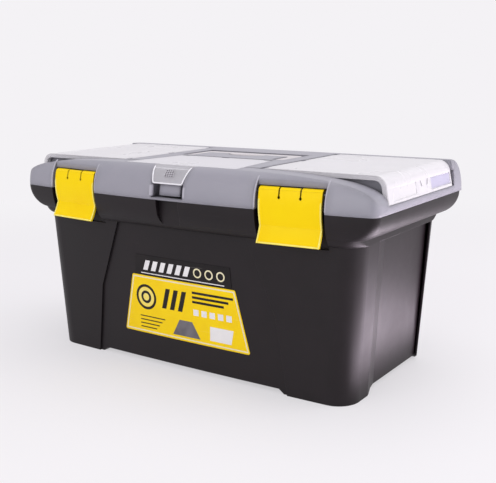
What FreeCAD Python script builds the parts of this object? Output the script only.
"""Plastic tool box with a lift-out tray and three small-parts organisers in its lid.

Millimetres. X runs along the length, the front faces -Y, Z is up. The origin is on the
floor, under the middle of the closed box.
"""
import FreeCAD, Part
import math
import os
from FreeCAD import Vector

os.makedirs("parts", exist_ok=True)

# Closed box
length = 533.0
depth = 270.8
height = 263.8
lid_rise = 40.4
front_bow = 18.9
parting_gap = 0.3

# Bin: its insets are from the sides of the closed box
wall = 2.6
foot_end_inset = 36.5
foot_front_inset = 27.6
foot_rear_inset = 25.2
foot_bow = 4.0
foot_height = 5.5
foot_pad_length = 91.5
foot_pad_front = 65.0
foot_pad_rear = 16.0
foot_step = 7.0
waist_drop = 37.4
waist_end_inset = 25.0
waist_front_inset = 18.6
waist_rear_inset = 16.2
waist_bow = 10.0
wall_corner = 28.0
rim_front_corner = 12.0
rim_rear_corner = 9.0
rim_rear_inset = 6.7
end_swell_height = 9.0
collar_rings = 7
panel_recess = 2.5
panel_top_half = 100.0
panel_mid_half = 137.0
panel_foot_half = 152.0
panel_mid_z = 95.0
end_recess = 6.0
end_recess_front = 53.0
end_recess_slope = 26.0
end_recess_rear = 18.0
scoop_half = 17.0
scoop_depth = 8.0
scoop_foot_drop = 35.4
scoop_shoulder_drop = 19.4
scoop_points = 9

# Lid
nose_depth = 22.0
rear_nose_depth = 26.0
end_nose_depth = 5.0
nose_rings = 9
arch_power = 3.5
arch_points = 13
compartment_front_inset = 48.1
compartment_rear_inset = 38.9
rear_post_gap = 5.0
ledge_rise = 8.9
well_floor_rise = 11.1
well_wall = 2.4
lip_drop = 4.0
lip_wall = 2.0
lip_gap = 0.7

# Latches and their bays; rises and drops are from the parting line
latch_end_gap = 100.5
latch_width = 77.4
latch_wall = 2.6
latch_top_rise = 23.1
latch_belly_rise = 3.6
latch_waist_drop = 18.0
latch_foot_drop = 37.1
latch_top_inset = 5.4
latch_belly_inset = 2.6
latch_waist_inset = 5.6
latch_foot_inset = -3.4
latch_flare = 0.6
bay_gap = 4.3
bay_depth = 19.0
bay_recess_depth = 10.0
bay_foot_drop = 41.4
bay_cheek = 5.0
latch_pin_r = 1.6
latch_pin_inset = 10.4
latch_pin_drop = 3.2
latch_barrel_r = 3.8
latch_turn_gap = 1.0
latch_lug_half = 10.0
latch_lug_r = 2.8
slit_x = 13.2
slit_half = 0.9
slit_length = 8.4
slit_eye_r = 1.7
barrel_start = 16.6
barrel_end = 37.2
hook_half = 28.0
hook_height = 4.6
hook_reach = 6.8
catch_height = 4.0
hook_gap = 0.4

# Hinge at the back of the lid
hinge_r = 5.0
hinge_rear_gap = 0.2
hinge_pin_r = 2.0
hinge_end_gap = 116.5
hinge_barrel = 30.0
hinge_ear = 12.0
ear_foot_turn = 15.0
hinge_side_gap = 0.4
hinge_turn_gap = 0.5
hinge_pad = 9.5

# Running fits and small clearances
pin_fit = 0.06
cover_gap = 0.3
seat_gap = 0.1
sink = 0.5

# Side covers
cover_wall = 2.3
cover_hinge_x = 106.2
cover_hinge_drop = 2.75
cover_knuckle_r = 2.6
groove_gap = 0.9
cover_pin_r = 1.2
cover_end_radius = 14.0
cover_end_gap = 0.5
cover_shoulder_gap = 3.9
cover_front_gap = 0.2
cover_frame = 5.0
block_front_gap = 9.0
block_gap = 0.5
rear_slot_drop = 12.0
window_sunk = 0.9
window_margin = 3.0
window_front = 33.0
clip_front = 1.0
clip_rear = 22.0
clip_width = 6.0
clip_sunk = 1.2
side_panel_front_gap = 17.0
side_panel_rear = -10.0
side_panel_sunk = 0.5
pin_end = 1.5
groove_half = 3.7
lug_length = 12.0
lug_gap = 0.4
lug_notch = 3.7

# Front cover, over the middle well
front_cover_side_gap = 22.2
front_cover_taper = 13.0
front_cover_inset = 26.2
front_cover_hinge_y = -12.8
tab_top_half = 29.0
tab_foot_half = 22.6
tab_drop = 20.8
tab_proud = 0.6
finger_half = 24.5
finger_foot_rise = 2.6
finger_top_drop = 5.8
finger_depth = 18.0
tongue_half = 16.0
tongue_inset = 6.5
tongue_foot_rise = 5.0
middle_well_side = 5.0
middle_well_inset = 10.0

# Carrying handle
handle_side_gap = 28.2
handle_arm = 13.0
handle_grip = 19.0
handle_thick = 12.0
handle_pivot_gap = 20.5
handle_reach = 51.0
handle_top_drop = 0.5
handle_pin_r = 2.5
handle_pin_length = 16.0
handle_corner = 9.0
handle_round = 3.0
pocket_gap = 2.2
pocket_depth = 15.0
pocket_rear_gap = 6.0
finger_pocket_half = 29.0
finger_pocket_reach = 20.0

# Tray
tray_end_gap = 6.9
tray_front_inset = 40.6
tray_rear_inset = 26.2
tray_draft = 4.0
tray_wall = 2.2
tray_flange = 3.5
tray_foot_drop = 58.1
tray_height = 44.0
tray_corner = 16.0
tray_rib_y = 7.2
tray_rib_wall = 8.0
tray_bay_x = 76.0
tray_ledge_in = 14.0
tray_ledge_half = 52.0
tray_ledge_wall = 3.0
tray_grip_half = 62.0
tray_grip_rise = 9.0
tray_grip_bar = 9.0
tray_peg_r = 2.4
tray_peg_depth = 6.6
tray_grip_round = 3.6
tray_dip_half = 50.0
tray_dip_drop = 32.0

# Loose dividers and the ridges that hold them
divider_wall = 1.6
divider_gap = 0.3
ridge_wall = 1.6
ridge_reach = 2.4
ridge_drop = 4.0
organiser_rib_y = 9.2
organiser_divider_height = 21.0

# Label
label_thick = 0.5
label_foot_z = 40.5
label_top_z = 119.0
label_foot_half = 100.0
label_top_half = 81.2
label_corner = 2.5
band_gap = 0.8
band_height = 26.2
band_taper = 1.4
band_top_half = 75.0
band_corner = 1.2

# Worked out from the sizes above
half = length / 2.0
front_y = -depth / 2.0
rear_y = depth / 2.0
top_z = height
parting_z = height - lid_rise
rim_z = parting_z - parting_gap
far = length
waist_z = parting_z - waist_drop
hinge_x = half - hinge_end_gap
hinge_y = rear_y - hinge_r - hinge_rear_gap
hinge_z = parting_z
compartment_front = front_y + compartment_front_inset
compartment_rear = rear_y - compartment_rear_inset
rear_post_y = compartment_rear + rear_post_gap
ledge_z = parting_z + ledge_rise
well_floor_z = parting_z + well_floor_rise
latch_x = half - latch_end_gap
latch_top_z = parting_z + latch_top_rise
latch_belly_z = parting_z + latch_belly_rise
latch_waist_z = parting_z - latch_waist_drop
latch_foot_z = parting_z - latch_foot_drop
latch_pin_z = latch_top_z - latch_pin_drop
latch_sweep = math.hypot(latch_pin_inset - latch_top_inset, latch_pin_drop)
bay_half = latch_width / 2.0 + bay_gap
bay_foot_z = parting_z - bay_foot_drop
bay_top_z = latch_pin_z + latch_sweep + latch_turn_gap
catch_inset = latch_waist_inset + hook_reach
cover_end_x = half - cover_end_gap
cover_shoulder_x = half - cover_shoulder_gap
cover_hinge_z = top_z - cover_hinge_drop
cover_under_z = top_z - cover_wall
cover_front = compartment_front + cover_front_gap
cover_rear = compartment_rear
block_front = compartment_front + block_front_gap
seat_z = cover_under_z - cover_gap
groove_z = cover_hinge_z - cover_knuckle_r - groove_gap
block_x = cover_shoulder_x - cover_wall - block_gap
block_corner = cover_end_radius - cover_wall - block_gap
well_inner_x = cover_hinge_x + well_wall
well_outer_x = block_x - well_wall
well_front = block_front + well_wall
well_rear = compartment_rear - well_wall
front_cover_front = front_y + front_cover_inset
front_cover_front_half = cover_hinge_x - front_cover_side_gap
front_cover_rear_half = front_cover_front_half - front_cover_taper
middle_well_half = front_cover_rear_half - middle_well_side
middle_well_front = front_cover_front + middle_well_inset
middle_well_rear = front_cover_hinge_y - groove_half - well_wall
finger_foot_z = parting_z + finger_foot_rise
finger_top_z = top_z - finger_top_drop
tongue_foot_z = parting_z + tongue_foot_rise
tab_foot_z = top_z - tab_drop
handle_half = cover_hinge_x - handle_side_gap
handle_pivot_y = front_cover_hinge_y + handle_pivot_gap
handle_rear_y = handle_pivot_y + handle_reach
handle_top_z = top_z - handle_top_drop
handle_pivot_z = handle_top_z - handle_thick / 2.0
handle_pin_outer = handle_half + pocket_gap + 1.6 * well_wall
handle_pin_inner = handle_pin_outer - handle_pin_length
pocket_floor_z = top_z - pocket_depth
finger_pocket_y = handle_rear_y - handle_grip - finger_pocket_reach
latch_pin_half = bay_half + 0.8 * bay_cheek
tray_top_half = half - waist_end_inset - end_recess - wall - tray_end_gap
tray_foot_half = tray_top_half - tray_draft
tray_front = front_y + tray_front_inset
tray_rear = rear_y - tray_rear_inset
tray_foot_z = parting_z - tray_foot_drop
tray_top_z = tray_foot_z + tray_height
tray_dip_z = tray_top_z - tray_dip_drop
tray_peg_x = (tray_dip_half + tray_grip_half) / 2.0
tray_divider_xs = [-2.0 * tray_bay_x, -tray_bay_x, tray_bay_x, 2.0 * tray_bay_x]
tray_ridge_top_z = tray_top_z - ridge_drop
floor_top_z = foot_height + wall
organiser_divider_x = (well_inner_x + well_outer_x) / 2.0
organiser_divider_z = well_floor_z + organiser_divider_height
band_foot_z = label_top_z + band_gap
band_top_z = band_foot_z + band_height
band_foot_half = band_top_half + band_taper


def front_at(x):
    """Where the bowed front of the lid and rim lies at a distance along the box."""
    return front_y + front_bow * (x / half) ** 2


latch_y = front_at(latch_x)
latch_turn = math.degrees(math.atan(2.0 * front_bow * latch_x / half ** 2))


def box(x0, x1, y0, y1, z0, z1):
    return Part.makeBox(x1 - x0, y1 - y0, z1 - z0, Vector(x0, y0, z0))


def extrude(corners, along):
    wire = Part.makePolygon([Vector(*c) for c in corners + corners[:1]])
    return Part.Face(wire).extrude(Vector(*along))


def prism_xy(points, z0, z1):
    return extrude([(x, y, z0) for x, y in points], (0, 0, z1 - z0))


def prism_xz(points, y0, y1):
    return extrude([(x, y0, z) for x, z in points], (0, y1 - y0, 0))


def prism_yz(points, x0, x1):
    return extrude([(x0, y, z) for y, z in points], (x1 - x0, 0, 0))


def rod_x(x0, x1, y, z, r):
    return Part.makeCylinder(r, x1 - x0, Vector(x0, y, z), Vector(1, 0, 0))


def rod_y(y0, y1, x, z, r):
    return Part.makeCylinder(r, y1 - y0, Vector(x, y0, z), Vector(0, 1, 0))


def rod_z(z0, z1, x, y, r):
    return Part.makeCylinder(r, z1 - z0, Vector(x, y, z0), Vector(0, 0, 1))


def join(shapes):
    return shapes[0].multiFuse(shapes[1:]).removeSplitter()


def mirrored(shape):
    return shape.mirror(Vector(0, 0, 0), Vector(1, 0, 0))


def both_sides(shape):
    return [shape, mirrored(shape)]


def rounded(shape, radius, wanted):
    """Round the edges of a shape that a test picks out."""
    edges = [e for e in shape.Edges if wanted(e)]
    return shape.makeFillet(radius, edges)


def upright(edge):
    box_of = edge.BoundBox
    return box_of.ZLength > 1.0 and box_of.XLength < 0.01 and box_of.YLength < 0.01


def save(shape, name):
    solids = shape.Solids
    kept = solids[0] if len(solids) == 1 else Part.makeCompound(solids)
    kept.exportStep("parts/" + name + ".step")
    print(name, len(solids), round(kept.Volume / 1000.0, 1), "cm3", kept.isValid())


def ring(z, half_length, front, bow, rear, front_r, rear_r):
    """A level outline: bowed front, straight ends and back, rounded corners."""
    cx = half_length - front_r
    if bow:
        bow_r = (half_length ** 2 + bow ** 2) / (2.0 * bow)
        bow_y = front + bow_r
        cy = bow_y - math.sqrt((bow_r - front_r) ** 2 - cx ** 2)
        stretch = bow_r / (bow_r - front_r)
        tx = cx * stretch
        ty = bow_y + (cy - bow_y) * stretch
    else:
        cy = front + front_r
        tx = cx
        ty = front
    turn = math.atan2(ty - cy, tx - cx) / 2.0
    mx = cx + front_r * math.cos(turn)
    my = cy + front_r * math.sin(turn)
    back = rear - rear_r
    inner = half_length - rear_r
    knee = rear_r * math.sqrt(0.5)

    def at(x, y):
        return Vector(x, y, z)

    def arc(a, b, c):
        return Part.Arc(at(*a), at(*b), at(*c)).toShape()

    def line(a, b):
        return Part.LineSegment(at(*a), at(*b)).toShape()

    lead = arc((-tx, ty), (0, front), (tx, ty)) if bow else line((-tx, ty), (tx, ty))
    return Part.Wire([
        lead,
        arc((tx, ty), (mx, my), (half_length, cy)),
        line((half_length, cy), (half_length, back)),
        arc((half_length, back), (inner + knee, back + knee), (inner, rear)),
        line((inner, rear), (-inner, rear)),
        arc((-inner, rear), (-inner - knee, back + knee), (-half_length, back)),
        line((-half_length, back), (-half_length, cy)),
        arc((-half_length, cy), (-mx, my), (-tx, ty)),
    ])


def bin_ring(z, inset, front_inset):
    """The drafted wall of the bin at one height, moved in by an inset."""
    share = z / waist_z
    half_length = half - foot_end_inset + (foot_end_inset - waist_end_inset) * share
    front = front_y + foot_front_inset + (waist_front_inset - foot_front_inset) * share
    rear = rear_y - foot_rear_inset + (foot_rear_inset - waist_rear_inset) * share
    bow = foot_bow + (waist_bow - foot_bow) * share
    corner = wall_corner - inset
    return (half_length - inset, front + inset + front_inset, bow, rear - inset, corner, corner)


def bin_body(z0, inset, front_inset=0.0):
    """The solid inside the bin's drafted wall, from z0 up to the collar."""
    rings = [ring(z, *bin_ring(z, inset, front_inset)) for z in (z0, waist_z)]
    return Part.makeLoft(rings, True, True)


def collar_body(inset):
    """The collar swells out to the rim in a quarter ellipse, which starts higher at the ends."""
    low = bin_ring(waist_z, inset, 0.0)
    high = (half - inset, front_y + inset, front_bow, rear_y - rim_rear_inset - inset,
            rim_front_corner - inset, rim_rear_corner - inset)
    full_drop = rim_z - waist_z
    end_drop = full_drop - end_swell_height

    def level(drop):
        share = math.sqrt(max(0.0, 1.0 - (drop / full_drop) ** 2))
        end_share = math.sqrt(max(0.0, 1.0 - (drop / end_drop) ** 2))
        shares = [end_share] + [share] * (len(low) - 1)
        return ring(rim_z - drop, *[a + (b - a) * s for a, b, s in zip(low, high, shares)])

    turns = [math.radians(90.0 * step / (collar_rings - 1.0)) for step in range(collar_rings)]
    upper = [level(end_drop * math.cos(turn)) for turn in turns]
    lower = [level(full_drop - end_swell_height * (1.0 - math.cos(turn))) for turn in turns]
    return Part.makeLoft(upper, True, False).fuse(Part.makeLoft(lower, True, False))


def lid_body(inset):
    """The lid's blank: round nose at the front and back, flat top, bowed front."""
    rings = []
    for step in range(nose_rings):
        angle = math.radians(90.0 * step / (nose_rings - 1.0))
        back = 1.0 - math.cos(angle)
        z = parting_z + (lid_rise - inset) * math.sin(angle)
        rings.append(ring(
            z,
            half - inset - (end_nose_depth - inset) * back,
            front_y + inset + (nose_depth - inset) * back,
            front_bow,
            rear_y - inset - (rear_nose_depth - inset) * back,
            rim_front_corner - inset,
            rim_rear_corner - inset,
        ))
    return Part.makeLoft(rings, True, False)


def arch_cutter(inset):
    """What lies over the arched crest of the front nose."""
    points = []
    for step in range(arch_points):
        angle = math.radians(180.0 * step / (arch_points - 1.0))
        c = math.cos(angle)
        s = math.sin(angle)
        x = (half - inset) * math.copysign(abs(c) ** (2.0 / arch_power), c)
        z = parting_z + (lid_rise - inset) * abs(s) ** (2.0 / arch_power)
        points.append(Vector(x, -far, z))
    curve = Part.BSplineCurve()
    curve.interpolate(points)
    first, last = points[0], points[-1]
    high = top_z + far
    path = [curve.toShape()]
    corners = [last, Vector(-far, -far, parting_z), Vector(-far, -far, high),
               Vector(far, -far, high), Vector(far, -far, parting_z), first]
    for a, b in zip(corners, corners[1:]):
        path.append(Part.LineSegment(a, b).toShape())
    face = Part.Face(Part.Wire(path))
    return face.extrude(Vector(0, far + compartment_front, 0))


def place_at_latch(shape, side):
    """Move a shape from the latch's own frame, where the nose is at y = 0, to its bay."""
    moved = shape.copy()
    moved.rotate(Vector(0, 0, 0), Vector(0, 0, 1), side * latch_turn)
    moved.translate(Vector(side * latch_x, latch_y, 0))
    return moved


def at_latches(shape):
    return [place_at_latch(shape, side) for side in (-1, 1)]


def make_bin():
    """The black bin: drafted walls, swollen collar, feet, latch bays and hinge ears."""
    outside = bin_body(0.0, 0.0).fuse(collar_body(0.0))
    inside = bin_body(floor_top_z, wall).fuse(collar_body(wall))

    panel = prism_xz([
        (panel_foot_half, -foot_height), (panel_mid_half, panel_mid_z), (panel_top_half, waist_z),
        (-panel_top_half, waist_z), (-panel_mid_half, panel_mid_z), (-panel_foot_half, -foot_height),
    ], -far, 0.0)
    panel_cut = outside.cut(bin_body(0.0, 0.0, panel_recess)).common(panel)
    panel_pad = inside.cut(bin_body(floor_top_z, wall, panel_recess)).common(panel)

    ends = []
    start_y = front_y + foot_front_inset + end_recess_front
    stop_y = rear_y - foot_rear_inset - end_recess_rear
    for z in (0.0, waist_z):
        x = bin_ring(z, 0.0, 0.0)[0]
        deep = x - end_recess
        ends.append(Part.makePolygon([
            Vector(x, start_y, z), Vector(deep, start_y + end_recess_slope, z), Vector(deep, stop_y, z),
            Vector(x + wall, stop_y, z), Vector(x + wall, start_y, z), Vector(x, start_y, z)]))
    end_cut = Part.makeLoft(ends, True, True)
    end_pad = end_cut.copy()
    end_pad.translate(Vector(-wall, 0, 0))

    bay_pad = box(-bay_half - wall, bay_half + wall, -far, bay_depth + wall, bay_foot_z - wall, parting_z)
    bay_cut = box(-bay_half, bay_half, -far, bay_depth, bay_foot_z, parting_z)
    scoop_shoulder_z = parting_z - scoop_shoulder_drop
    scoop_rise = scoop_foot_drop - scoop_shoulder_drop
    scoop = [(scoop_half, parting_z)]
    for step in range(scoop_points):
        angle = math.pi * step / (scoop_points - 1.0)
        scoop.append((scoop_half * math.cos(angle),
                      scoop_shoulder_z - scoop_rise * math.sin(angle)))
    scoop.append((-scoop_half, parting_z))
    scoop_back = front_y + scoop_depth
    scoop_cut = prism_xz(scoop, -far, scoop_back)
    scoop_pad = box(-scoop_half - wall, scoop_half + wall, -far, scoop_back + wall, waist_z, parting_z)

    pad_half = hinge_barrel / 2.0 + hinge_side_gap + hinge_ear + wall
    pad_inner = hinge_y - hinge_r - hinge_turn_gap - wall
    hinge_pads = box(hinge_x - pad_half, hinge_x + pad_half, pad_inner, far,
                     parting_z - 2.0 * hinge_pad, parting_z)

    pads = at_latches(bay_pad) + [scoop_pad] + both_sides(hinge_pads)
    inside = inside.cut(pads + [panel_pad] + both_sides(end_pad))
    shell = outside.cut([inside])
    shell = shell.cut(at_latches(bay_cut) + [scoop_cut, panel_cut] + both_sides(end_cut))

    foot_inner_x = half - foot_end_inset - foot_pad_length
    foot_front_y = front_y + foot_front_inset + foot_pad_front
    foot_rear_y = rear_y - foot_rear_inset - foot_pad_rear
    feet_x = prism_xz([
        (foot_inner_x + foot_step, 0.0), (foot_inner_x, foot_height),
        (-foot_inner_x, foot_height), (-foot_inner_x - foot_step, 0.0)], -far, far)
    feet_y = prism_yz([
        (foot_front_y - foot_step, 0.0), (foot_front_y, foot_height),
        (foot_rear_y, foot_height), (foot_rear_y + foot_step, 0.0)], -far, far)
    shell = shell.cut([feet_x, feet_y])

    catch_z = latch_waist_z + hook_gap + hook_height / 2.0
    catch = box(-hook_half, hook_half, catch_inset, bay_depth + wall / 2.0, catch_z, catch_z + catch_height)
    ledge = tray_ledges()
    foot_turn = math.radians(ear_foot_turn)
    ear_foot = (hinge_y - hinge_r * math.sin(foot_turn), hinge_z - hinge_r * math.cos(foot_turn))
    ears = []
    for side in (-1, 1):
        inner = hinge_barrel / 2.0 + hinge_side_gap
        for end in (-1, 1):
            a = side * hinge_x + end * inner
            b = side * hinge_x + end * (inner + hinge_ear)
            ears.append(rod_x(min(a, b), max(a, b), hinge_y, hinge_z, hinge_r))
            ears.append(prism_yz([
                (hinge_y - hinge_r - wall, rim_z),
                (hinge_y - hinge_r - wall, parting_z - 2.0 * hinge_pad),
                (hinge_y - hinge_r, parting_z - 2.0 * hinge_pad),
                ear_foot,
                (hinge_y, hinge_z - parting_gap)], min(a, b), max(a, b)))
    shell = join([shell] + at_latches(catch) + ledge + ears)
    holes = []
    for side in (-1, 1):
        inner = hinge_barrel / 2.0 + hinge_side_gap
        holes.append(rod_x(side * hinge_x - inner, side * hinge_x + inner, hinge_y, hinge_z,
                           hinge_r + hinge_turn_gap))
        reach = inner + hinge_ear + 1.0
        holes.append(rod_x(side * hinge_x - reach, side * hinge_x + reach, hinge_y, hinge_z,
                           hinge_pin_r + pin_fit / 2.0))
    return shell.cut(holes)


def tray_ledges():
    """Brackets on the inside of the two ends, which the tray rests on."""
    wall_x = bin_ring(tray_foot_z, wall, 0.0)[0] - end_recess
    inner = tray_foot_half - tray_ledge_in / 2.0
    top = tray_foot_z - cover_gap
    deep = top - tray_ledge_in
    shape = prism_xz([(inner, top), (wall_x + wall / 2.0, top), (wall_x + wall / 2.0, deep),
                      (inner, top - tray_ledge_wall)], -tray_ledge_half, tray_ledge_half)
    return both_sides(shape)


def compartment_section(grow, y0, y1):
    """Right-hand organiser block under its cover, or what lies outside it, as one XZ section."""
    r = block_corner
    x = block_x
    z = seat_z
    cx = x - r
    cz = z - r
    knee = r * math.sqrt(0.5)

    def at(px, pz):
        return Vector(px, y0, pz)

    arc = Part.Arc(at(x, cz), at(cx + knee, cz + knee), at(cx, z)).toShape()
    corners = [at(cx, z), at(cover_hinge_x, z), at(cover_hinge_x, top_z + grow),
               at(half + grow, top_z + grow), at(half + grow, ledge_z), at(x, ledge_z), at(x, cz)]
    edges = [arc] + [Part.LineSegment(a, b).toShape() for a, b in zip(corners, corners[1:])]
    return Part.Face(Part.Wire(edges)).extrude(Vector(0, y1 - y0, 0))


def lug_places(first, last):
    """Three lugs along a cover's hinge: one at each end and one in the middle."""
    middle = (first + last - lug_length) / 2.0
    return [first, middle, last - lug_length]


def side_wells():
    """The two bays of the right-hand organiser."""
    rib = well_wall / 2.0
    return [
        (well_inner_x, well_outer_x, well_front, organiser_rib_y - rib),
        (well_inner_x, well_outer_x, organiser_rib_y + rib, well_rear),
    ]


def divider_ridges(x, y, toward, z0, z1):
    """Two upright ridges on a wall, which hold a divider's edge between them."""
    inner = divider_wall / 2.0 + divider_gap
    outer = inner + ridge_wall
    ya, yb = sorted((y - toward * sink, y + toward * ridge_reach))
    return [box(x + inner, x + outer, ya, yb, z0, z1), box(x - outer, x - inner, ya, yb, z0, z1)]


def trapezoid_xy(front, front_half, rear, rear_half, grow, z0, z1):
    return prism_xy([
        (-front_half - grow, front - grow), (front_half + grow, front - grow),
        (rear_half + grow, rear + grow), (-rear_half - grow, rear + grow)], z0, z1)


def tab_outline(grow):
    """The front cover's tab, seen from the front: wide at the crest, narrow at its foot."""
    spread = (tab_top_half - tab_foot_half) / (top_z - tab_foot_z)
    high = top_z + nose_depth
    top = tab_top_half + grow + spread * (high - top_z)
    foot = tab_foot_half + grow
    return prism_xz([(-foot, tab_foot_z - grow), (foot, tab_foot_z - grow), (top, high), (-top, high)],
                    -far, front_cover_front + cover_gap)


def handle_pocket(grow, floor):
    """The slot that the folded handle lies in, with a scoop for the fingers."""
    outer_x = handle_half + pocket_gap + grow
    inner_x = handle_half - handle_arm - pocket_gap - grow
    front = handle_pivot_y - handle_thick / 2.0 - pocket_gap - grow
    grip_front = handle_rear_y - handle_grip - pocket_gap - grow
    rear = handle_rear_y + pocket_rear_gap + grow
    slot = box(-outer_x, outer_x, front, rear, floor, far)
    slot = slot.cut(box(-inner_x, inner_x, -far, grip_front, floor, far))
    oval = Part.Ellipse(Vector(0, grip_front, floor), finger_pocket_half + grow,
                        grip_front - finger_pocket_y + grow).toShape()
    scoop = Part.Face(Part.Wire([oval])).extrude(Vector(0, 0, far))
    return slot.fuse(scoop)


def make_lid():
    """The grey lid: one moulding with round nose, latch bays, wells and the handle's pocket."""
    body = lid_body(0.0).cut(arch_cutter(0.0))
    hollow = lid_body(wall).cut(arch_cutter(wall))

    side_cut = compartment_section(nose_depth, compartment_front, cover_rear + cover_gap)
    front_slot = box(cover_hinge_x + groove_half, half + wall, compartment_front, block_front,
                     well_floor_z, top_z + wall)
    rear_slot = box(block_x, half + wall, cover_rear, rear_post_y, ledge_z, top_z - rear_slot_drop)
    groove = box(cover_hinge_x - groove_half, cover_hinge_x + groove_half,
                 compartment_front, cover_rear + cover_gap, groove_z, top_z + wall)
    front_groove = box(-front_cover_rear_half - cover_gap, front_cover_rear_half + cover_gap,
                       front_cover_hinge_y - groove_half, front_cover_hinge_y + groove_half,
                       groove_z, top_z + wall)
    seat = trapezoid_xy(front_cover_front, front_cover_front_half, front_cover_hinge_y,
                        front_cover_rear_half, cover_gap, seat_z, top_z + wall)
    wells = []
    for x0, x1, y0, y1 in side_wells():
        wells += both_sides(box(x0, x1, y0, y1, well_floor_z, top_z + wall))
    wells.append(box(-middle_well_half, middle_well_half, middle_well_front, middle_well_rear,
                     well_floor_z, top_z + wall))
    pocket = handle_pocket(0.0, pocket_floor_z)
    bays = at_latches(box(-bay_half, bay_half, -far, bay_depth, parting_z - wall, bay_top_z))
    bays += at_latches(box(-bay_half, bay_half, -far, bay_recess_depth, parting_z - wall, top_z + wall))
    tab_cut = tab_outline(cover_gap).cut(lid_body(cover_wall - tab_proud + cover_gap))
    finger_cut = box(-finger_half, finger_half, -far, front_y + finger_depth, finger_foot_z, finger_top_z)

    pads = []
    pads += both_sides(box(well_inner_x - well_wall, block_x, compartment_front - well_wall,
                           well_rear + well_wall, well_floor_z - well_wall, far))
    pads += both_sides(box(well_outer_x - wall, far, compartment_front - well_wall, rear_post_y + wall,
                           ledge_z - wall, far))
    pads += both_sides(box(cover_hinge_x - groove_half - well_wall, cover_hinge_x + groove_half,
                           compartment_front, cover_rear + cover_gap + well_wall,
                           groove_z - well_wall, far))
    pads.append(box(-front_cover_rear_half - well_wall, front_cover_rear_half + well_wall,
                    front_cover_hinge_y - groove_half - well_wall,
                    front_cover_hinge_y + groove_half + well_wall, groove_z - well_wall, far))
    pads.append(trapezoid_xy(front_cover_front, front_cover_front_half, front_cover_hinge_y,
                             front_cover_rear_half, well_wall, seat_z - well_wall, far))
    pads.append(box(-middle_well_half - well_wall, middle_well_half + well_wall,
                    middle_well_front - well_wall, middle_well_rear + well_wall,
                    well_floor_z - well_wall, far))
    pads.append(handle_pocket(well_wall, pocket_floor_z - well_wall))
    boss_x = handle_half + pocket_gap
    pads += both_sides(box(boss_x, boss_x + 2.0 * well_wall, handle_pivot_y - handle_thick / 2.0,
                           handle_pivot_y + handle_thick / 2.0, pocket_floor_z, far))
    cheek = bay_half + bay_cheek
    pads += at_latches(box(-cheek, cheek, -far, bay_depth + wall, -far, bay_top_z + wall))
    pads += at_latches(box(-cheek, cheek, -far, bay_recess_depth + wall, -far, far))
    pads.append(tab_outline(cover_gap + wall).cut(lid_body(cover_wall - tab_proud + cover_gap + wall)))
    pads.append(box(-finger_half - wall, finger_half + wall, -far, front_y + finger_depth + wall, -far,
                    finger_top_z + wall))
    hollow = hollow.cut(pads)

    body = body.cut([hollow])
    cuts = both_sides(side_cut) + both_sides(front_slot) + both_sides(rear_slot) + both_sides(groove)
    cuts += [front_groove, seat, pocket, tab_cut, finger_cut] + wells + bays
    body = body.cut(cuts)

    tongue = box(-tongue_half, tongue_half, front_y, front_y + finger_depth + sink,
                 tongue_foot_z, finger_top_z + sink).common(lid_body(tongue_inset))
    extras = lid_lugs() + [locating_lip(), tongue] + organiser_ridges()
    station = hinge_barrel / 2.0 + hinge_side_gap + hinge_ear + hinge_side_gap
    ear_room = []
    for side in (-1, 1):
        x = side * hinge_x
        ear_room.append(rod_x(x - station, x + station, hinge_y, hinge_z, hinge_r + hinge_turn_gap))
        extras.append(rod_x(x - hinge_barrel / 2.0, x + hinge_barrel / 2.0, hinge_y, hinge_z, hinge_r))
        extras.append(box(x - hinge_barrel / 2.0, x + hinge_barrel / 2.0, hinge_y - hinge_r,
                          rear_y - wall / 2.0, hinge_z, hinge_z + 1.5 * hinge_r))
    body = join([body.cut(ear_room)] + extras)

    holes = []
    for side in (-1, 1):
        x = side * hinge_x
        holes.append(rod_x(x - hinge_barrel, x + hinge_barrel, hinge_y, hinge_z, hinge_pin_r + pin_fit))
        holes.append(rod_y(compartment_front, cover_rear + cover_gap, side * cover_hinge_x,
                           cover_hinge_z, cover_pin_r + pin_fit / 2.0))
        a, b = sorted((side * handle_pin_inner, side * handle_pin_outer))
        holes.append(rod_x(a, b, handle_pivot_y, handle_pivot_z, handle_pin_r + pin_fit / 2.0))
    holes.append(rod_x(-front_cover_rear_half, front_cover_rear_half, front_cover_hinge_y,
                       cover_hinge_z, cover_pin_r + pin_fit / 2.0))
    holes += at_latches(rod_x(-latch_pin_half, latch_pin_half, latch_pin_inset, latch_pin_z,
                              latch_pin_r + pin_fit / 2.0))
    return body.cut(holes)


def lid_lugs():
    """Lugs that hold the pins of the covers and of the latches."""
    lugs = []
    for y in lug_places(compartment_front, cover_rear + cover_gap):
        lug = rod_y(y, y + lug_length, cover_hinge_x, cover_hinge_z, cover_knuckle_r)
        base = box(cover_hinge_x - cover_knuckle_r, cover_hinge_x + cover_knuckle_r, y, y + lug_length,
                   groove_z - sink, cover_hinge_z)
        lugs += both_sides(lug) + both_sides(base)
    reach = front_cover_rear_half + cover_gap
    for x in lug_places(-reach, reach):
        lugs.append(rod_x(x, x + lug_length, front_cover_hinge_y, cover_hinge_z, cover_knuckle_r))
        lugs.append(box(x, x + lug_length, front_cover_hinge_y - cover_knuckle_r,
                        front_cover_hinge_y + cover_knuckle_r, groove_z - sink, cover_hinge_z))
    y, z, r = latch_pin_inset, latch_pin_z, latch_lug_r
    back = bay_depth + sink
    lug = rod_x(-latch_lug_half, latch_lug_half, y, z, r).fuse(prism_yz(
        [(y, z - r), (y + r, z - sink), (back, z - 2.0 * sink), (back, z - 3.0 * r)],
        -latch_lug_half, latch_lug_half))
    return lugs + at_latches(lug)


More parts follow.
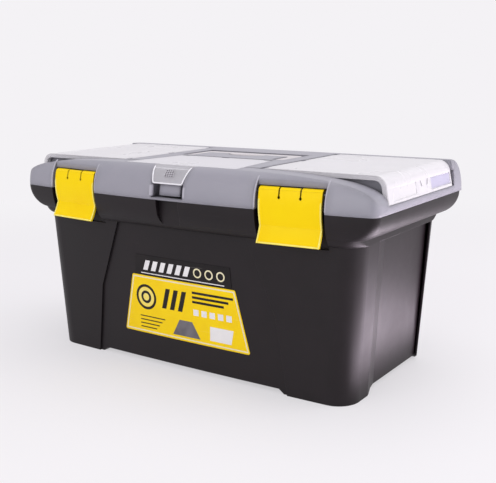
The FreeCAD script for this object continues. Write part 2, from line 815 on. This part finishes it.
def locating_lip():
    """A lip under the lid that drops inside the rim of the bin, at the front and the ends."""
    def level(inset, z):
        return ring(z, half - inset, front_y + inset, front_bow, rear_y - inset,
                    rim_front_corner - wall, rim_rear_corner - wall)

    outer = wall + lip_gap
    lip = Part.Face(level(outer, parting_z - lip_drop)).extrude(Vector(0, 0, lip_drop + wall))
    collar = Part.Face(level(wall - sink, parting_z)).extrude(Vector(0, 0, wall))
    core = Part.Face(level(outer + lip_wall, parting_z - far)).extrude(Vector(0, 0, 2.0 * far))
    lip = lip.fuse(collar).cut(core)
    clear = 2.0 * wall + lip_gap
    away = [
        box(-far, far, compartment_rear, far, -far, far),
        box(-scoop_half - clear, scoop_half + clear, -far, 0.0, -far, parting_z),
    ]
    away += at_latches(box(-bay_half - bay_cheek - lip_gap, bay_half + bay_cheek + lip_gap, -far, far / 4.0,
                           -far, far))
    return lip.cut(away)


def organiser_ridges():
    ridges = []
    top = organiser_divider_z + ridge_wall
    for y0, y1 in [well[2:] for well in side_wells()]:
        pair = divider_ridges(organiser_divider_x, y0, 1, well_floor_z - sink, top)
        pair += divider_ridges(organiser_divider_x, y1, -1, well_floor_z - sink, top)
        for ridge in pair:
            ridges += both_sides(ridge)
    ridges += divider_ridges(0.0, middle_well_front, 1, well_floor_z - sink, top)
    ridges += divider_ridges(0.0, middle_well_rear, -1, well_floor_z - sink, top)
    return ridges


def make_latch():
    """One latch in its own frame: a bellied plate with a flared lip, hung on its barrels."""
    def section(extra):
        outer = [(latch_top_inset, latch_top_z), (latch_belly_inset, latch_belly_z),
                 (latch_waist_inset, latch_waist_z)]
        foot = (latch_foot_inset, latch_foot_z)
        mid = ((latch_waist_inset + latch_foot_inset) / 2.0 + latch_flare,
               (latch_waist_z + latch_foot_z) / 2.0)
        return [Vector(-latch_width / 2.0, y + extra, z) for y, z in outer + [mid, foot]]

    a = section(0.0)
    b = section(latch_wall)
    edges = [
        Part.Arc(a[0], a[1], a[2]).toShape(),
        Part.Arc(a[2], a[3], a[4]).toShape(),
        Part.LineSegment(a[4], b[4]).toShape(),
        Part.Arc(b[4], b[3], b[2]).toShape(),
        Part.Arc(b[2], b[1], b[0]).toShape(),
        Part.LineSegment(b[0], a[0]).toShape(),
    ]
    plate = Part.Face(Part.Wire(edges)).extrude(Vector(latch_width, 0, 0))
    pieces = [plate]
    slits = []
    for side in (-1, 1):
        x0, x1 = sorted((side * barrel_start, side * barrel_end))
        pieces.append(rod_x(x0, x1, latch_pin_inset, latch_pin_z, latch_barrel_r))
        pieces.append(box(x0, x1, latch_top_inset + latch_wall / 2.0, latch_pin_inset,
                          latch_pin_z - latch_barrel_r, latch_pin_z + latch_lug_r))
        x = side * slit_x
        eye_z = latch_top_z - slit_length
        slits.append(box(x - slit_half, x + slit_half, -far, latch_pin_inset, eye_z, far))
        slits.append(Part.makeCylinder(slit_eye_r, far, Vector(x, -far / 2.0, eye_z), Vector(0, 1, 0)))
    hook = box(-hook_half, hook_half, latch_waist_inset + latch_wall / 2.0, catch_inset - hook_gap,
               latch_waist_z - hook_height / 2.0, latch_waist_z + hook_height / 2.0)
    latch = join(pieces + [hook]).cut(slits)
    return latch.cut(rod_x(-latch_width, latch_width, latch_pin_inset, latch_pin_z, latch_pin_r + pin_fit))


def side_profile(inset, y):
    """The side cover's outline seen from the front: top, rounded shoulder and leaning skirt."""
    r = cover_end_radius
    q = r - inset
    knee = q * math.sqrt(0.5)
    cx = cover_shoulder_x - r
    cz = top_z - r
    return [Vector(cover_hinge_x, y, top_z - inset), Vector(cx, y, top_z - inset),
            Vector(cx + knee, y, cz + knee), Vector(cx + q, y, cz),
            Vector(cover_end_x - inset, y, ledge_z + cover_gap)]


def side_shell(thick, y0, y1):
    """The skin between the side cover's outline and the same outline moved in."""
    a = side_profile(0.0, y0)
    b = side_profile(thick, y0)
    line = Part.LineSegment
    edges = [
        line(a[0], a[1]).toShape(), Part.Arc(a[1], a[2], a[3]).toShape(), line(a[3], a[4]).toShape(),
        line(a[4], b[4]).toShape(), line(b[4], b[3]).toShape(), Part.Arc(b[3], b[2], b[1]).toShape(),
        line(b[1], b[0]).toShape(), line(b[0], a[0]).toShape(),
    ]
    return Part.Face(Part.Wire(edges)).extrude(Vector(0, y1 - y0, 0))


def skirt_cutter(outline, sunk):
    """A shape drawn on the side cover's leaning skirt, sunk into it."""
    shoulder, foot = side_profile(sunk, 0.0)[3:]
    outside = prism_xz([(foot.x, foot.z), (shoulder.x, shoulder.z), (far, shoulder.z), (far, foot.z)],
                       -far, far)
    return prism_yz(outline, 0.0, far).common(outside)


def skirt_cuts():
    """The sunk panel, the two slanted notches of the clip and the window on the skirt."""
    low = ledge_z + cover_gap + window_margin
    high = top_z - cover_end_radius
    cuts = [skirt_cutter([(y0, low), (y1, low), (y1, high), (y0, high)], sunk) for y0, y1, sunk in (
        (cover_front + side_panel_front_gap, side_panel_rear, side_panel_sunk),
        (window_front, cover_rear - window_margin, window_sunk))]
    foot = (low + high) / 2.0
    lean = clip_width / 2.0
    for y0, step in ((clip_front, lean), (clip_rear, -lean)):
        cuts.append(skirt_cutter([(y0 + step, foot), (y0 + step + lean, foot), (y0 + lean, high), (y0, high)],
                                 clip_sunk))
    return cuts


def make_side_cover():
    """The right-hand organiser's clear cover: flat top, rounded shoulder, end skirt, front frame."""
    shell = side_shell(cover_wall, cover_front, cover_rear)
    frame = side_shell(cover_frame, cover_front, cover_front + cover_wall)

    knuckles = []
    notches = []
    places = lug_places(compartment_front, cover_rear + cover_gap)
    for y, following in zip(places, places[1:]):
        knuckles.append(rod_y(y + lug_length + lug_gap, following - lug_gap, cover_hinge_x,
                              cover_hinge_z, cover_knuckle_r))
    for y in places:
        notches.append(box(cover_hinge_x - lug_notch, cover_hinge_x + lug_notch, y - lug_gap,
                           y + lug_length + lug_gap, groove_z, top_z + wall))
    cover = join([shell, frame] + knuckles).cut(notches + skirt_cuts())
    return cover.cut(rod_y(cover_front, cover_rear, cover_hinge_x, cover_hinge_z, cover_pin_r + pin_fit))


def make_front_cover():
    """The middle organiser's clear cover, with the tab that bends down over the nose."""
    plate = trapezoid_xy(front_cover_front, front_cover_front_half, front_cover_hinge_y,
                         front_cover_rear_half, 0.0, cover_under_z, top_z)
    skin = lid_body(-tab_proud).cut(lid_body(cover_wall - tab_proud))
    tab = tab_outline(0.0).common(skin).common(box(-far, far, -far, front_cover_front + cover_gap, 0, top_z))
    reach = front_cover_rear_half + cover_gap
    places = lug_places(-reach, reach)
    knuckles = []
    notches = []
    for x, following in zip(places, places[1:]):
        knuckles.append(rod_x(x + lug_length + lug_gap, following - lug_gap, front_cover_hinge_y,
                              cover_hinge_z, cover_knuckle_r))
    for x in places:
        notches.append(box(x - lug_gap, x + lug_length + lug_gap, front_cover_hinge_y - lug_notch,
                           front_cover_hinge_y + lug_notch, groove_z, top_z + wall))
    cover = join([plate, tab] + knuckles).cut(notches)
    return cover.cut(rod_x(-reach, reach, front_cover_hinge_y, cover_hinge_z, cover_pin_r + pin_fit))


def make_handle():
    """The carrying handle, a flat bail that folds back into the lid."""
    z0 = handle_top_z - handle_thick
    grip_front = handle_rear_y - handle_grip
    frame = box(-handle_half, handle_half, handle_pivot_y, handle_rear_y, z0, handle_top_z)
    inner = handle_half - handle_arm
    frame = frame.cut(box(-inner, inner, -far, grip_front, 0, far))
    frame = rounded(frame, handle_corner, lambda e: upright(e) and e.BoundBox.YMin > grip_front + 1.0)
    outer_edges = [e for e in frame.Edges if e.BoundBox.YMin > handle_pivot_y + 1.0 and not upright(e)]
    frame = frame.makeFillet(handle_round, outer_edges)
    ends = [rod_x(inner, handle_half, handle_pivot_y, handle_pivot_z, handle_thick / 2.0)]
    ends += [mirrored(e) for e in ends]
    handle = join([frame] + ends)
    return handle.cut(rod_x(-far, far, handle_pivot_y, handle_pivot_z, handle_pin_r + pin_fit))


def tray_ring(z, inset):
    """The tray's outline at a height, drafted towards its floor."""
    down = tray_draft * (tray_top_z - z) / tray_height
    grow = -inset - down
    corner = tray_corner + grow
    return ring(z, tray_top_half + grow, tray_front - grow, 0.0, tray_rear + grow, corner, corner)


def tray_bays():
    """The tray's bays: three in front of the rib, one long one behind it."""
    rib0 = tray_rib_y - tray_rib_wall / 2.0
    rib1 = tray_rib_y + tray_rib_wall / 2.0
    half_wall = tray_wall / 2.0
    stops = [-far, -tray_bay_x, tray_bay_x, far]
    bays = [(a + half_wall, b - half_wall, -far, rib0) for a, b in zip(stops, stops[1:])]
    return bays + [(-far, far, rib1, far)]


def make_tray():
    """The black lift-out tray: drafted shell, hollow middle rib, fixed walls and divider slots."""
    outside = Part.makeLoft([tray_ring(z, 0.0) for z in (tray_foot_z, tray_top_z)], True, True)
    flange = Part.Face(tray_ring(tray_top_z, -tray_flange)).extrude(Vector(0, 0, -tray_wall))
    floor_z = tray_foot_z + tray_wall
    inside = Part.makeLoft([tray_ring(z, tray_wall) for z in (floor_z, tray_top_z)], True, True)
    bays = [inside.common(box(x0, x1, y0, y1, 0, far)) for x0, x1, y0, y1 in tray_bays()]
    rib_core = tray_rib_wall / 2.0 - tray_wall
    core = box(-far, far, tray_rib_y - rib_core, tray_rib_y + rib_core, 0, tray_top_z - tray_wall)
    core = core.common(inside)
    core.translate(Vector(0, 0, -tray_wall))
    dip = box(-tray_dip_half, tray_dip_half, tray_rib_y - tray_rib_wall, tray_rib_y + tray_rib_wall,
              tray_dip_z, far)
    dip_core = box(-tray_dip_half - tray_wall, tray_dip_half + tray_wall, tray_rib_y - tray_rib_wall,
                   tray_rib_y + tray_rib_wall, tray_dip_z - tray_wall, far)
    tray = outside.fuse(flange).cut(bays + [core.cut(dip_core), dip])
    ridges = []
    for x in tray_divider_xs:
        ridges += divider_ridges(x, tray_rib_y + tray_rib_wall / 2.0, 1, floor_z - sink, tray_ridge_top_z)
        back = tray_rear - tray_draft - tray_wall
        for ridge in divider_ridges(x, back, -1, floor_z - sink, tray_ridge_top_z):
            grown = ridge.fuse(box(ridge.BoundBox.XMin, ridge.BoundBox.XMax, ridge.BoundBox.YMin,
                                   tray_rear, floor_z - sink, tray_ridge_top_z))
            ridges.append(grown.common(outside))
    pegs = [rod_z(tray_top_z - tray_peg_depth, far, x, tray_rib_y, tray_peg_r + pin_fit / 2.0)
            for x in (-tray_peg_x, tray_peg_x)]
    return join([tray] + ridges).cut(pegs)


def make_tray_grip():
    """The grip bar over the dip in the tray's rib, held by a peg at each end."""
    z0 = tray_top_z + seat_gap
    bar = box(-tray_grip_half, tray_grip_half, tray_rib_y - tray_grip_bar, tray_rib_y + tray_grip_bar,
              z0, z0 + tray_grip_rise)
    bar = bar.makeFillet(tray_grip_round, bar.Edges)
    pegs = [rod_z(tray_top_z - tray_peg_depth + sink, z0 + tray_grip_rise / 2.0, x, tray_rib_y, tray_peg_r)
            for x in (-tray_peg_x, tray_peg_x)]
    return join([bar] + pegs)


def make_tray_divider(x):
    floor_z = tray_foot_z + tray_wall + seat_gap
    rise_z = tray_ridge_top_z
    y0 = tray_rib_y + tray_rib_wall / 2.0 + divider_gap

    def back(z):
        return tray_rear - tray_wall - divider_gap - tray_draft * (tray_top_z - z) / tray_height

    return prism_yz([(y0, floor_z), (back(floor_z), floor_z), (back(rise_z), rise_z), (y0, rise_z)],
                    x - divider_wall / 2.0, x + divider_wall / 2.0)


def make_label(low_z, low_half, high_z, high_half, corner):
    """A thin label that follows the sunk front panel."""
    sheet = prism_xz([(-low_half, low_z), (low_half, low_z), (high_half, high_z), (-high_half, high_z)],
                     -far, 0.0)
    sheet = rounded(sheet, corner, lambda e: e.BoundBox.YLength > far / 2.0)
    skin = bin_body(0.0, 0.0, panel_recess - label_thick).cut(bin_body(0.0, 0.0, panel_recess - seat_gap))
    return skin.common(sheet)


save(make_bin(), "bin")
save(make_lid(), "lid")

latch = make_latch()
latch_pin = rod_x(-latch_pin_half, latch_pin_half, latch_pin_inset, latch_pin_z, latch_pin_r)
for side, name in ((-1, "left"), (1, "right")):
    save(place_at_latch(latch, side), "latch_" + name)
    save(place_at_latch(latch_pin, side), "latch_pin_" + name)

side_cover = make_side_cover()
side_pin = rod_y(compartment_front + pin_end, cover_rear - pin_end, cover_hinge_x, cover_hinge_z, cover_pin_r)
save(side_cover, "cover_right")
save(mirrored(side_cover), "cover_left")
save(side_pin, "cover_pin_right")
save(mirrored(side_pin), "cover_pin_left")
save(make_front_cover(), "cover_front")
reach = front_cover_rear_half - pin_end
save(rod_x(-reach, reach, front_cover_hinge_y, cover_hinge_z, cover_pin_r), "cover_pin_front")

save(make_handle(), "handle")
for side, name in ((-1, "left"), (1, "right")):
    a, b = sorted((side * handle_pin_inner, side * handle_pin_outer))
    save(rod_x(a, b, handle_pivot_y, handle_pivot_z, handle_pin_r), "handle_pin_" + name)
    station = hinge_barrel / 2.0 + hinge_side_gap + hinge_ear
    x = side * hinge_x
    save(rod_x(x - station, x + station, hinge_y, hinge_z, hinge_pin_r), "hinge_pin_" + name)

save(make_tray(), "tray")
save(make_tray_grip(), "tray_grip")
for number, x in enumerate(tray_divider_xs, 1):
    save(make_tray_divider(x), "tray_divider_" + str(number))

for x0, x1, y0, y1 in side_wells():
    place = "front" if y0 < organiser_rib_y else "rear"
    plate = box(organiser_divider_x - divider_wall / 2.0, organiser_divider_x + divider_wall / 2.0,
                y0 + divider_gap, y1 - divider_gap, well_floor_z + seat_gap, organiser_divider_z)
    save(plate, "organiser_divider_right_" + place)
    save(mirrored(plate), "organiser_divider_left_" + place)
plate = box(-divider_wall / 2.0, divider_wall / 2.0, middle_well_front + divider_gap,
            middle_well_rear - divider_gap, well_floor_z + seat_gap, organiser_divider_z)
save(plate, "organiser_divider_middle")

save(make_label(label_foot_z, label_foot_half, label_top_z, label_top_half, label_corner), "label_panel")
save(make_label(band_foot_z, band_foot_half, band_top_z, band_top_half, band_corner), "label_band")
